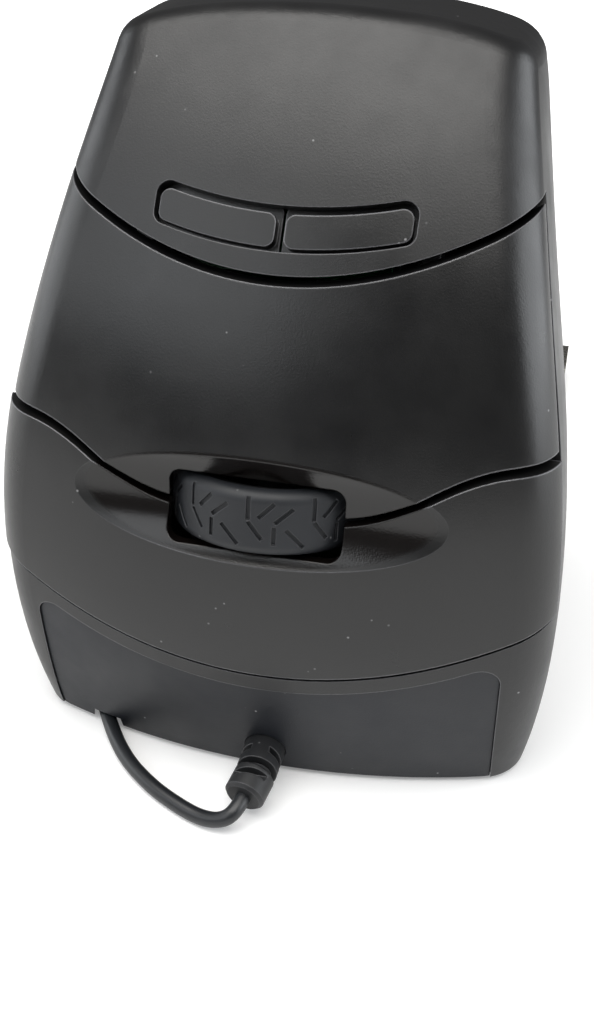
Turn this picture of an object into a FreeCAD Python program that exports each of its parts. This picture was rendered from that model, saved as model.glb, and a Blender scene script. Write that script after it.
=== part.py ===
import FreeCAD, Part
import functools
import math
import os
from FreeCAD import Vector as V

# Upright fingertip mouse: it stands on a flat base like a small monolith and is
# held from the sides, with two wide front keys above and below a sideways wheel.
# Millimetres, +Z up, front toward -Y. The origin is the middle of the footprint
# on the table.

# Overall form
depth = 80.0              # front to back at the widest
crown_height = 89.6       # table to the top of the crown
foot_stand = 0.8          # the glide feet hold the housing this far off the table
belly_half = 35.0         # half width at the belly
belly_z = 23.0            # height of the widest level
belly_curve = 0.0037      # how fast the flanks draw in, 1/mm
taper_z = 53.0            # above this the flanks run straight
nose_z = 29.0             # height of the foremost point of the front
crown_front_back = 30.1   # the front has leaned back by this at the crown
nose_tuck = 0.0055        # tuck in below the nose, 1/mm
heel_z = 12.0             # height of the rearmost point
crown_back_fore = 34.9    # the back has leaned forward by this at the crown
front_radius = 90.0       # the front's curve seen from above
flank_fore_radius = 56.0  # flank, ahead of the widest point
back_half = 13.0          # half width to which the flanks draw in at the back
back_radius = 55.0        # the back's curve at the table
back_flatten = 0.45       # the back's radius grows by this per mm of height
widest_set_back = 14.0    # widest point behind the front centre
edge_radius = 7.0         # roundest front corner
heel_edge_radius = 18.0   # roundest rear corner
arch_rise = 5.65          # the crown is half an ellipse seen from the front
arch_over = 0.8           # its ends lie this far outside the flanks
crown_round = 4.5         # soft edge round the crown
wall = 2.0                # wall of the mouldings
nose_lean = crown_front_back / (crown_height - nose_z) ** 2     # 1/mm
heel_lean = crown_back_fore / (crown_height - heel_z) ** 2
flank_run = depth - widest_set_back
flank_draw = belly_half - back_half
flank_aft_radius = (flank_run ** 2 + flank_draw ** 2) / (2 * flank_draw)

# Split lines, seen from the front
brow_z = crown_height - 24.1  # lower edge of the brow at the middle
brow_smile = 0.0095       # its upward curve, 1/mm
brow_gap = 1.0            # free gap above the upper key
waist_z = 18.4            # upper edge of the base at the middle
waist_smile = 0.0075      # its upward curve, 1/mm
waist_gap = 0.6           # free gap below the lower key
wing_z = 47.2             # the gap between the keys, out at the flanks
wing_x = belly_half - 5.0     # where it levels out
key_gap = 1.0             # width of that gap
key_wrap = 9.5            # the front keys end this far behind the front centre
side_gap = 0.9            # free gap between the front keys and the shell
lower_key_proud = 0.3     # the lower key stands out by this

# Wheel
wheel_z = 40.3            # where the wheel's middle meets the front
wheel_lean = 11.0         # lean of the wheel's axle from the vertical, degrees
wheel_radius = 12.0
wheel_width = 7.6
wheel_proud = 1.2         # the tyre stands out from the undished front
tyre_thick = 1.8
tyre_round = 1.3
tread_repeats = 10
tread_depth = 0.35
tread_width = 0.5
axle_radius = 1.0
window_half = 10.3        # half length of the wheel window
window_side_gap = 0.5     # wheel side to window edge
window_round = 1.6
dish_z = 41.1             # middle of the dished oval round the wheel
dish_radius = 10.0
dish_depth = 2.35
dish_wall = 1.4

# Handedness keys in the brow
hand_z = brow_z + 4.15    # middle of the pair at the centre line
hand_key_height = 3.75    # along the front
hand_key_half = 14.2      # outer ends of the pair
hand_key_split = 1.1      # gap between the two
hand_slot_clear = 0.5     # gap round them
hand_slot_extra = 0.35    # wider gap along their top
hand_key_sunk = 0.35
hand_key_thick = 1.9
hand_flange = 0.8
hand_travel = 0.3
hand_stem_x = 7.4

# Front inlay
inlay_half = belly_half - 5.6
inlay_drop = 2.2          # below the base's upper edge
inlay_depth = 0.8
inlay_sunk = 0.25
inlay_fit = 0.08
inlay_round = 2.4

# Fits
run_fit = 0.05            # radial clearance of shafts in bearings
press_gap = 0.05          # rest gap between an actuator and its plunger
screw_fit = 0.03
seat = 0.02               # clearance of parts that are glued or clipped in

# Cable
cable_radius = 1.0
cord_sides = 8
cable_x = 1.0             # where it leaves, measured on the photograph
cable_z = 4.6
boot_radius = 2.6
boot_neck_radius = 1.75

# Hinges, click switches and actuators; the upright board is placed in the wheel's frame
upper_hinge_z = brow_z - 1.5
upper_hinge_back = 6.8    # behind the front
lower_hinge_z = 18.0
lower_hinge_back = 6.4
hinge_pin_radius = 1.2
hinge_plate = 2.0         # thickness of the hinge plates
hinge_x = 14.0            # middle of a key's own plate
hinge_play = 0.3          # between the plates
key_plate_half = 2.0      # half width of a key's hinge plate
lug_half = 2.2            # and of the housing's
switch_z = 15.0           # upper click switch
upper_post_x = -2.0       # its actuator, beside the middle
low_switch_x = 11.0       # lower click switch, beside the scroll encoder
low_switch_z = -9.5
board_y = 20.5            # front of the upright board
switch_high = 6.5         # body of a click switch above the board
click_half = (6.4, 2.9)
plunger_out = 0.8
plunger_radius = 0.9
post_half = 1.3           # half width of an actuator post

# Wheel's hub, carrier, encoder and switch, in the wheel's frame
hub_radius = wheel_radius - tyre_thick
hub_rim = 1.4
hub_half = 3.4
hub_web = 1.0
hub_boss = 2.5
arm_near = 5.4            # carrier arms on both sides of the wheel
arm_thick = 1.5
arm_half = 4.0
web_y = 13.2              # carrier's back web
web_thick = 1.5
web_half = 8.6
guide_x = 7.0
guide_radius = 1.5
guide_boss = 2.6
guide_long = 3.8
guide_out = 0.4           # the guide posts pass the web by this
pad_radius = 2.0
axle_low = 10.0
axle_high = 8.5
encoder_half = (5.0, 4.5)
encoder_high = 4.5
wheel_switch_half = 3.0
wheel_switch_high = 3.5
wheel_plunger_radius = 1.7
wheel_plunger_out = 0.5
# One repeat of the tread: place round the tyre, place across it, length, slope in degrees
tread = ((0.0, 1.85, 2.7, 90.0), (0.85, -0.7, 2.6, -51.0), (2.05, 1.75, 2.5, 46.0),
         (3.0, -1.2, 2.2, 90.0), (4.05, 1.2, 2.7, 41.0), (5.4, -1.5, 3.0, -45.0))

# Housing bosses and screws
boss_radius = 3.2
boss_joint = 11.0         # where the shell's bosses stand on the base's
fore_boss = (26.0, -depth / 2 + 32.0)
rear_boss = (12.0, depth / 2 - 10.0)
fore_boss_top = 40.0
rear_boss_top = 48.0
stay_thick = 1.6          # web from the fore boss to the flank
screw_radius = 1.1
screw_head = 2.0
screw_length = 12.0
head_seat = 4.6           # under a housing screw's head
head_high = 1.5
board_screw_radius = 0.8
board_screw_head = 1.6
board_screw_length = 5.0
small_head_high = 1.1

# Base, feet, main board and the bracket's feet
floor_z = foot_stand + wall
foot_recess = 0.3
foot_half = (7.0, 3.0)
foot_fore = (16.0, -depth / 2 + 18.0)
foot_rear = (11.5, depth / 2 - 22.5)
foot_round = 2.0
board_z = 8.4             # under side of the main board
board_thick = 1.6
board_half = 16.0
board_front = -depth / 2 + 34.0
board_back = rear_boss[1] - boss_radius - 2.8
board_post_radius = 2.6
board_posts = ((13.0, board_front + 3.5), (13.0, board_back - 3.5))
board_top = board_z + board_thick
bracket_z = 8.0           # under side of the bracket's foot
bracket_foot_x = (9.0, 20.0)
bracket_foot_y = (-depth / 2 + 17.0, -depth / 2 + 31.0)
bracket_foot_thick = 2.0
bracket_post = (15.0, -depth / 2 + 24.0)
sensor_y = board_front + 12.0
sensor_window = (5.0, 4.0)    # half width and half depth of the floor's window
header_x = 5.0
header_z = board_top + 2.2
header_front = board_front + 0.7

# Upright board and its bracket, in the wheel's frame
plate_y = board_y + board_thick
plate_thick = 2.0
plate_half = 20.0
plate_top = 25.0
plate_foot = -26.0
arch_half_x = 9.0         # the link ribbon passes under this arch
arch_top = -18.5
upright_half = 18.0
upright_low = -18.0
upright_top = 22.0
upright_screws = ((15.0, 19.0), (15.0, -15.0))

# Board behind the handedness keys, in the brow's frame
hand_post_x = 9.6
hand_post_w = 6.8         # its screw posts stand this far above the keys
hand_post_radius = 1.8
hand_board_n = 7.6        # near side, behind the front
hand_board_thick = 1.0
hand_board_half = 11.6
hand_board_low = -3.2
hand_board_high = 8.9
hand_switch_high = 2.4
hand_switch_half = 2.25
hand_plunger_out = 0.5
hand_plunger_radius = 1.0
hand_screw_deep = 4.0

# Cord where it leaves and its channel under the base
exit_radius = boot_neck_radius + 0.1
flange_thick = 1.4
channel_half = cable_radius + 0.6
channel_top = 2 * cable_radius + 0.4
channel_wall = 1.2

# Coil of the cord's unseen length, tied, close behind the mouse
coil_middle = (-10.0, depth / 2 + 23.0)
coil_radius = 12.0        # at the middle of its turns
coil_pitch = 3.0          # between turns of a layer
layer_pitch = 2.6         # between layers
layer_halves = (7, 7, 7, 6)   # half turns in each layer: in, out, in, out
tie_thick = 0.6
tie_width = 4.0
coil_lead = 2 * cable_radius
coil_z = cable_radius + tie_thick + seat
coil_outer = coil_radius + coil_pitch * layer_halves[0] / 4
coil_inner = coil_outer - coil_pitch * layer_halves[0] / 2

# USB plug
plug_y = depth / 2 + 49.0
plug_x = -8.0             # where the cord enters the plug
plug_half_high = 4.25
plug_half_wide = 8.0
plug_boot = 7.0
plug_length = 20.0
plug_shell_half = 6.0
plug_shell_half_high = 2.25
plug_shell_out = 12.0
plug_shell_in = 6.0
plug_shell_wall = 0.3
tongue_thick = 1.9

os.makedirs("parts", exist_ok=True)


def save(shape, name):
    """Writes one sub-part."""
    shape.exportStep("parts/" + name + ".step")


def fuse(shapes):
    """Joins touching solids into one."""
    first, rest = shapes[0], shapes[1:]
    return (first.fuse(rest) if rest else first).removeSplitter()


def group(shapes):
    """Keeps several separate solids in one sub-part."""
    return Part.makeCompound(shapes)


def box(x0, x1, y0, y1, z0, z1):
    return Part.makeBox(x1 - x0, y1 - y0, z1 - z0, V(x0, y0, z0))


def rod(radius, start, end):
    """Round bar from one point to another."""
    way = V(*end) - V(*start)
    return Part.makeCylinder(radius, way.Length, V(*start), way)


def mirrored(shape):
    """The same piece on the other side of the middle plane."""
    return shape.mirror(V(0, 0, 0), V(1, 0, 0))


def both_sides(spots):
    """Places and their mirror images."""
    return [(s * x, y) for x, y in spots for s in (-1, 1)]


# Form of the housing

def front_y(z):
    """Front surface on the centre line at a height."""
    curve = nose_lean if z > nose_z else nose_tuck
    return -depth / 2 + curve * (z - nose_z) ** 2


def rear_y(z):
    """Back surface on the centre line at a height."""
    return depth / 2 - heel_lean * (z - heel_z) ** 2


def half_width(z):
    """Half width at a height: a bow, then a straight taper."""
    bow = belly_half - belly_curve * (min(z, taper_z) - belly_z) ** 2
    slope = 2 * belly_curve * (taper_z - belly_z)
    return bow - slope * max(z - taper_z, 0)


def thickness(z):
    return rear_y(z) - front_y(z)


def flank_y(z):
    """Where the housing is widest at a height."""
    return front_y(z) + min(widest_set_back, 0.45 * thickness(z))


def touching_centre(big, big_r, other, other_r, forward):
    """Centre of the corner circle inside two larger ones."""
    dx, dy = other[0] - big[0], other[1] - big[1]
    gap = math.hypot(dx, dy)
    along = (big_r ** 2 - other_r ** 2 + gap ** 2) / (2 * gap)
    aside = math.sqrt(max(big_r ** 2 - along ** 2, 0))
    ux, uy = dx / gap, dy / gap
    found = [(big[0] + along * ux - s * aside * uy, big[1] + along * uy + s * aside * ux) for s in (1, -1)]
    return max(found, key=lambda p: p[0] + forward * p[1])


def on_circle(centre, toward, radius):
    """Point of a circle in line with another point."""
    dx, dy = toward[0] - centre[0], toward[1] - centre[1]
    far = math.hypot(dx, dy)
    return (centre[0] + dx / far * radius, centre[1] + dy / far * radius)


def arc_edge(centre, radius, start, end, z):
    middle = ((start[0] + end[0]) / 2, (start[1] + end[1]) / 2)
    middle = on_circle(centre, middle, radius)
    return Part.Arc(V(*start, z), V(*middle, z), V(*end, z)).toShape()


def section(z, inset):
    """Level outline of the housing: ten tangent arcs, drawn in by a wall."""
    w, ys = half_width(z), flank_y(z)
    front_c, front_r = (0, front_y(z) + front_radius), front_radius - inset
    fore_c, fore_r = (w - flank_fore_radius, ys), flank_fore_radius - inset
    aft_c, aft_r = (w - flank_aft_radius, ys), flank_aft_radius - inset
    back_r = back_radius + back_flatten * z
    back_c = (0, rear_y(z) - back_r)
    back_r = back_r - inset
    corner_r = min(edge_radius, 0.28 * thickness(z)) - inset
    heel_r = min(heel_edge_radius, 0.26 * thickness(z)) - inset
    corner_c = touching_centre(front_c, front_r - corner_r, fore_c, fore_r - corner_r, -1)
    heel_c = touching_centre(back_c, back_r - heel_r, aft_c, aft_r - heel_r, 1)
    a = on_circle(front_c, corner_c, front_r)
    b = on_circle(fore_c, corner_c, fore_r)
    c = (w - inset, ys)
    d = on_circle(aft_c, heel_c, aft_r)
    e = on_circle(back_c, heel_c, back_r)

    def flip(p):
        return (-p[0], p[1])

    right = [(corner_c, corner_r, a, b), (fore_c, fore_r, b, c), (aft_c, aft_r, c, d), (heel_c, heel_r, d, e)]
    edges = [arc_edge(front_c, front_r, flip(a), a, z)]
    edges += [arc_edge(*arc, z) for arc in right]
    edges += [arc_edge(back_c, back_r, e, flip(e), z)]
    edges += [arc_edge(flip(k), r, flip(q), flip(p), z) for k, r, p, q in reversed(right)]
    return Part.Wire(edges)


def crown_cutter(inset):
    """Everything above the arched crown."""
    a = half_width(crown_height - arch_rise) + arch_over
    b = arch_rise
    base = crown_height - inset - b
    y0, y1 = -depth, depth
    ellipse = Part.Ellipse(V(a, y0, base), V(0, y0, base + b), V(0, y0, base))
    arch = Part.ArcOfEllipse(ellipse, 0, math.pi)
    if arch.value(math.pi / 2).z < base:
        arch = Part.ArcOfEllipse(ellipse, math.pi, 2 * math.pi)
    start, end = arch.StartPoint, arch.EndPoint
    top = V(0, 0, 30)
    corners = [end, end + top, start + top, start]
    sides = [Part.LineSegment(p, q).toShape() for p, q in zip(corners, corners[1:])]
    return Part.Face(Part.Wire([arch.toShape()] + sides)).extrude(V(0, y1 - y0, 0))


@functools.lru_cache(maxsize=None)
def form(inset, low=foot_stand, rounded=True):
    """The housing as a solid, drawn in by inset, from a level upward."""
    high = crown_height + 1.4
    radius = crown_round - inset
    for levels in (9, 8, 11, 12):
        heights = [low + (high - low) * i / (levels - 1) for i in range(levels)]
        body = Part.makeLoft([section(z, inset) for z in heights], True, False)
        body = body.cut(crown_cutter(inset))
        if not rounded or radius < 0.5:
            return body
        crown = [f for f in body.Faces if "Extrusion" in f.Surface.TypeId]
        try:
            soft = body.makeFillet(radius, crown[0].Edges)
        except Part.OCCError:
            continue
        if soft.isValid():
            return soft
    return body


# Cutting solids, all drawn as seen from the front and run through front to back

def prism(edges, y0=-depth, y1=depth):
    """Runs a closed front-view outline through from y0 to y1."""
    face = Part.Face(Part.Wire(edges))
    face.translate(V(0, y0, 0))
    return face.extrude(V(0, y1 - y0, 0))


def line(p, q):
    return Part.LineSegment(V(p[0], 0, p[1]), V(q[0], 0, q[1])).toShape()


def smile_edge(level, curve, half):
    """Parabola that rises to both sides."""
    rise = curve * half * half
    bow = Part.BezierCurve()
    bow.setPoles([V(-half, 0, level + rise), V(0, 0, level - rise), V(half, 0, level + rise)])
    return bow.toShape()


def below_smile(level, curve):
    """Everything lower than a smile line."""
    half = depth
    rise = curve * half * half
    low = [(half, level + rise), (half, -10), (-half, -10), (-half, level + rise)]
    edges = [smile_edge(level, curve, half)] + [line(p, q) for p, q in zip(low, low[1:])]
    return prism(edges)


def below_wings(offset):
    """Everything lower than the winged gap between the two front keys."""
    x0, z0 = window_half - 2.0, wheel_z - 0.3 + offset
    reach = wing_x - x0
    poles = [(x0, z0), (x0 + 0.42 * reach, z0 + 0.4), (x0 + 0.55 * reach, wing_z + offset),
             (wing_x, wing_z + offset)]
    right = Part.BezierCurve()
    right.setPoles([V(x, 0, z) for x, z in poles])
    left = Part.BezierCurve()
    left.setPoles([V(-x, 0, z) for x, z in reversed(poles)])
    far = depth
    z1 = wing_z + offset
    edges = [line((-far, z1), (-wing_x, z1)), left.toShape(), line((-x0, z0), (x0, z0)), right.toShape()]
    edges += [line((wing_x, z1), (far, z1)), line((far, z1), (far, -10)), line((far, -10), (-far, -10))]
    edges += [line((-far, -10), (-far, z1))]
    return prism(edges)


def ahead_of(set_back):
    """Everything ahead of a surface that follows the front at a distance."""
    heights = [-5 + 10 * i for i in range(11)]
    curve = Part.BSplineCurve()
    curve.interpolate([V(-depth, front_y(z) + set_back, z) for z in heights])
    start, end = curve.StartPoint, curve.EndPoint
    corners = [end, V(-depth, -depth, end.z), V(-depth, -depth, start.z), start]
    sides = [Part.LineSegment(p, q).toShape() for p, q in zip(corners, corners[1:])]
    return Part.Face(Part.Wire([curve.toShape()] + sides)).extrude(V(2 * depth, 0, 0))


outer = form(0)
inner = form(wall, foot_stand + wall)
skin = outer.cut(inner)


# The wheel's own frame: X across, Y inward, Z along the axle

lean = math.radians(wheel_lean)
sink = wheel_radius - wheel_proud
hub_y = front_y(wheel_z) + sink * math.cos(lean)
hub_z = wheel_z - sink * math.sin(lean)


def in_place(shape):
    """Moves a piece from the wheel's frame to the mouse."""
    moved = shape.copy()
    moved.rotate(V(0, 0, 0), V(1, 0, 0), -wheel_lean)
    moved.translate(V(0, hub_y, hub_z))
    return moved


def from_wheel(y, z):
    """A point of the wheel's frame, given in the mouse."""
    return (hub_y + y * math.cos(lean) + z * math.sin(lean), hub_z - y * math.sin(lean) + z * math.cos(lean))


def rounded_box(x, y0, y1, z, radius):
    """Block centred on X and Z with rounded edges along Y."""
    block = box(-x, x, y0, y1, -z, z)
    return block.makeFillet(radius, [e for e in block.Edges if e.BoundBox.YLength > 0.9 * (y1 - y0)])


# Front keys with the dish and the wheel window

window_high = wheel_width / 2 + window_side_gap
window = in_place(rounded_box(window_half, -2 * wheel_radius, 0, window_high, window_round))

dish_front = front_y(dish_z)
dish_lean = math.atan(2 * nose_lean * (dish_z - nose_z))
dish_back = dish_radius - dish_depth
dish_y = dish_front - dish_back * math.cos(dish_lean)
dish_axis_z = dish_z + dish_back * math.sin(dish_lean)


def dish(radius, half):
    """Bar across the front that leaves the dished oval where it cuts the form."""
    return rod(radius, (-half, dish_y, dish_axis_z), (half, dish_y, dish_axis_z))


backing_half = math.sqrt(2 * front_radius * dish_depth)
backing = dish(dish_radius + dish_wall, backing_half)
upper_hinge = (front_y(upper_hinge_z) + upper_hinge_back, upper_hinge_z)
lower_hinge = (front_y(lower_hinge_z) + lower_hinge_back, lower_hinge_z)


def key_plate(pivot, toward):
    """Hinge plate of a key with its trunnion, on the right side."""
    y, z = pivot
    arm = rod(lug_half, (hinge_x - hinge_plate / 2, y, z), (hinge_x + hinge_plate / 2, y, z))
    y1, z1 = toward
    length = math.hypot(y1 - y, z1 - z)
    bar = box(hinge_x - hinge_plate / 2, hinge_x + hinge_plate / 2, 0, length,
              -key_plate_half, key_plate_half)
    bar.rotate(V(0, 0, 0), V(1, 0, 0), math.degrees(math.atan2(z1 - z, y1 - y)))
    bar.translate(V(0, y, z))
    pin = rod(hinge_pin_radius, (hinge_x, y, z), (hinge_x + 1.5 * hinge_plate + hinge_play, y, z))
    return fuse([arm, bar, pin])


def lug_plate(pivot, toward):
    """Hinge plate of the housing with the trunnion's bearing."""
    y, z = pivot
    x0 = hinge_x + hinge_plate / 2 + hinge_play
    eye = rod(2 * hinge_pin_radius, (x0, y, z), (x0 + hinge_plate, y, z))
    y1, z1 = toward
    length = math.hypot(y1 - y, z1 - z)
    bar = box(x0, x0 + hinge_plate, 0, length, -lug_half, lug_half)
    bar.rotate(V(0, 0, 0), V(1, 0, 0), math.degrees(math.atan2(z1 - z, y1 - y)))
    bar.translate(V(0, y, z))
    bore = rod(hinge_pin_radius + run_fit, (x0 - 1, y, z), (x0 + hinge_plate + 1, y, z))
    return fuse([eye, bar]).cut(bore)


def actuator_post(x, z):
    """Post from behind a key to its click switch, in the wheel's frame."""
    tip = board_y - switch_high - plunger_out - press_gap
    return in_place(box(x - post_half, x + post_half, -sink, tip, z - post_half, z + post_half))


front_zone = ahead_of(key_wrap)
dished = fuse([skin, backing.common(outer)]).cut(dish(dish_radius, depth))


def inside_only(shape, inset):
    """Keeps what lies behind the skin."""
    return shape.common(form(inset, foot_stand + inset, False))


def upper_key():
    panel = dished.common(front_zone)
    panel = panel.common(below_smile(brow_z - brow_gap, brow_smile)).cut(below_wings(key_gap / 2))
    panel = panel.cut(window)
    y, z = upper_hinge
    plates = key_plate(upper_hinge, (y - 5.0, z - 3.0))
    ribs = inside_only(fuse([plates, mirrored(plates)]), wall / 2)
    post = inside_only(actuator_post(upper_post_x, switch_z), wall / 2)
    return largest(fuse([panel, ribs, post]))


def lower_key():
    proud = form(-lower_key_proud, foot_stand, False).cut(inner)
    proud = fuse([proud, backing.common(outer)]).cut(dish(dish_radius, depth))
    panel = proud.common(ahead_of(key_wrap)).common(below_wings(-key_gap / 2))
    panel = panel.cut(below_smile(waist_z + waist_gap, waist_smile)).cut(window)
    y, z = lower_hinge
    plates = key_plate(lower_hinge, (y - 3.4, z + 5.6))
    ribs = inside_only(fuse([plates, mirrored(plates)]), wall / 2)
    ribs = ribs.cut(ahead_of(wall + 2.2).common(below_smile(waist_z + waist_gap, waist_smile)))
    post = inside_only(actuator_post(low_switch_x, low_switch_z), wall / 2)
    return largest(fuse([panel, ribs, post]))


def largest(shape):
    """The main solid of a cut shape."""
    return max(shape.Solids, key=lambda s: s.Volume)


# Housing: the shell with flanks, back and brow, and the base it stands on


brow_lean = math.atan(2 * nose_lean * (hand_z - nose_z))
brow_smile_local = brow_smile / math.cos(brow_lean)


def on_brow(shape):
    """Moves a piece from the brow's frame (X across, Y inward, Z up the front)."""
    moved = shape.copy()
    moved.rotate(V(0, 0, 0), V(1, 0, 0), -math.degrees(brow_lean))
    moved.translate(V(0, front_y(hand_z), hand_z))
    return moved


def brow_level(x):
    """Height of the keys' middle line at x, in the brow's frame."""
    return brow_smile_local * x * x


def hand_outline(x0, x1, low, high, y0, y1, radius):
    """Curved bar between two smile lines, with rounded ends."""
    def bow(level):
        middle = (x0 + x1) / 2
        pull = 2 * (brow_level(middle) + level) - 0.5 * (brow_level(x0) + brow_level(x1)) - level
        curve = Part.BezierCurve()
        curve.setPoles([V(x0, 0, brow_level(x0) + level), V(middle, 0, pull),
                        V(x1, 0, brow_level(x1) + level)])
        return curve.toShape()
    lower_end = [(x1, brow_level(x1) + low), (x1, brow_level(x1) + high)]
    upper_end = [(x0, brow_level(x0) + high), (x0, brow_level(x0) + low)]
    edges = [bow(low), line(*lower_end), bow(high), line(*upper_end)]
    block = prism(Part.sortEdges(edges)[0], y0, y1)
    return block.makeFillet(radius, [e for e in block.Edges if e.BoundBox.YLength > 0.9 * (y1 - y0)])


hand_half_high = hand_key_height / 2
hand_slot = on_brow(hand_outline(-hand_key_half - hand_slot_clear, hand_key_half + hand_slot_clear,
                                 -hand_half_high - hand_slot_clear,
                                 hand_half_high + hand_slot_clear + hand_slot_extra, -4, 5, 1.5))


hand_room = on_brow(hand_outline(-hand_key_half - 0.8, hand_key_half + 0.8, -hand_half_high - 1.6,
                                 hand_half_high + 1.8, -4, wall + 2 * hand_flange + hand_travel, 1.5))


def housing_bosses(spot, top):
    """Two bosses of the shell over a pair of screw places."""
    x, y = spot
    column = rod(boss_radius, (x, y, boss_joint), (x, y, top))
    bore = rod(screw_radius + screw_fit, (x, y, boss_joint - 1), (x, y, head_seat + screw_length + 1))
    return column, bore


def shell():
    """Flanks, back, crown and brow in one moulding."""
    opening = ahead_of(key_wrap + side_gap).common(below_smile(brow_z, brow_smile))
    body = skin.cut(below_smile(waist_z, waist_smile)).cut(opening)
    body = body.cut(hand_slot)
    x, y = fore_boss
    stay = box(x, belly_half, y - stay_thick / 2, y + stay_thick / 2, fore_boss_top - 11, fore_boss_top)
    fore, fore_bore = housing_bosses(fore_boss, fore_boss_top)
    rear, rear_bore = housing_bosses(rear_boss, rear_boss_top)
    y, z = upper_hinge
    lugs = lug_plate(upper_hinge, (y + 2.0, z + 9.0))
    posts = on_brow(rod(hand_post_radius, (hand_post_x, 0.5, hand_post_w),
                        (hand_post_x, hand_board_n, hand_post_w)))
    extras = fuse([fore, stay, rear, lugs, posts])
    extras = inside_only(fuse([extras, mirrored(extras)]), wall / 2)
    extras = extras.cut(below_keys_space()).cut(hand_room)
    bores = fuse([fore_bore, rear_bore])
    pilot = on_brow(rod(board_screw_radius + screw_fit,
                        (hand_post_x, hand_board_n - hand_screw_deep - 0.5, hand_post_w),
                        (hand_post_x, hand_board_n + 1, hand_post_w)))
    bores = fuse([bores, pilot])
    return largest(fuse([body, extras]).cut(fuse([bores, mirrored(bores)])))


def below_keys_space():
    """Room that the upper key's panel needs behind the front."""
    key_room = ahead_of(wall + 2.2)
    return key_room.common(below_smile(brow_z, brow_smile))


def channel(half, top):
    """Straight-sided way of the cord under the base."""
    shapes = []
    spots = [V(x, y, 0) for x, y, _ in near_route[4:9]]
    for a, b in zip(spots, spots[1:]):
        way = b - a
        bar = Part.makeBox(way.Length, 2 * half, top, V(0, -half, 0))
        bar.rotate(V(0, 0, 0), V(0, 0, 1), math.degrees(math.atan2(way.y, way.x)))
        bar.translate(a)
        shapes += [bar, Part.makeCylinder(half, top, b)]
    return fuse(shapes)


def board_post(x, y, top):
    post = rod(board_post_radius, (x, y, floor_z - 0.5), (x, y, top))
    return post, rod(board_screw_radius + screw_fit, (x, y, top - board_screw_length), (x, y, top + 1))


def foot_pad(spot, z0, z1, grow=0.0):
    """Rounded pad under the base."""
    x, y = spot
    a, b = foot_half[0] + grow, foot_half[1] + grow
    pad = box(x - a, x + a, y - b, y + b, z0, z1)
    return pad.makeFillet(foot_round + grow, [e for e in pad.Edges if e.BoundBox.ZLength > 0.9 * (z1 - z0)])


def base():
    """The foot of the housing, with its floor, posts and the cable's way out."""
    body = skin.common(below_smile(waist_z, waist_smile))
    columns, bores = [], []
    for x, y in (fore_boss, rear_boss):
        columns.append(rod(boss_radius, (x, y, floor_z - 0.5), (x, y, boss_joint)))
        bores.append(rod(screw_radius + 0.15, (x, y, 0), (x, y, boss_joint + 1)))
        bores.append(rod(screw_head + 0.2, (x, y, 0), (x, y, head_seat)))
    for x, y in board_posts:
        post, bore = board_post(x, y, board_z)
        columns.append(post)
        bores.append(bore)
    post, bore = board_post(*bracket_post, bracket_z)
    columns.append(post)
    bores.append(bore)
    y, z = lower_hinge
    columns.append(lug_plate(lower_hinge, (y - 1.5, z - 9.0)))
    bores += [foot_pad(spot, foot_stand - 1, foot_stand + foot_recess, 0.05)
              for spot in (foot_fore, foot_rear)]
    extras = fuse(columns)
    extras = inside_only(fuse([extras, mirrored(extras)]), wall / 2)
    room = ahead_of(wall + 2.2).cut(below_smile(waist_z, waist_smile))
    cuts = fuse(bores)
    body = fuse([body, extras.cut(room)]).cut(fuse([cuts, mirrored(cuts)]))
    body = body.cut(box(-sensor_window[0], sensor_window[0], sensor_y - sensor_window[1],
                        sensor_y + sensor_window[1], 0, floor_z + 1))
    body = body.cut(rod(exit_radius, (cable_x, -depth, cable_z), (cable_x, 0, cable_z)))
    hood = channel(channel_half + channel_wall, channel_top + channel_wall - 0.2)
    body = fuse([body, inside_only(hood, wall / 2)])
    body = body.cut(channel(channel_half, channel_top))
    pocket = inlay_block(0).cut(form(inlay_depth, foot_stand, False))
    return largest(body.cut(pocket))


def inlay_block(shrink):
    """Front-view outline of the inlay, run back from the front."""
    half = inlay_half - shrink
    top = waist_z - inlay_drop - shrink
    edges = [smile_edge(top, waist_smile, half)]
    rise = waist_smile * half ** 2
    ring = [(half, top + rise), (half, -5), (-half, -5), (-half, top + rise)]
    edges += [line(p, q) for p, q in zip(ring, ring[1:])]
    block = prism(edges, -depth, -depth / 4)
    tall = [e for e in block.Edges if e.BoundBox.YLength > 0.5 * depth and e.BoundBox.ZMin > 5]
    return block.makeFillet(inlay_round - shrink, tall)


def inlay():
    """Thin matt panel let into the front of the base."""
    block = inlay_block(inlay_fit)
    panel = form(inlay_sunk, foot_stand, False).common(block).cut(form(inlay_depth - seat, foot_stand, False))
    panel = panel.cut(rod(boot_radius + 0.1, (cable_x, -depth, cable_z), (cable_x, 0, cable_z)))
    return largest(panel.cut(channel(channel_half, channel_top)))


# Handedness keys

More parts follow.
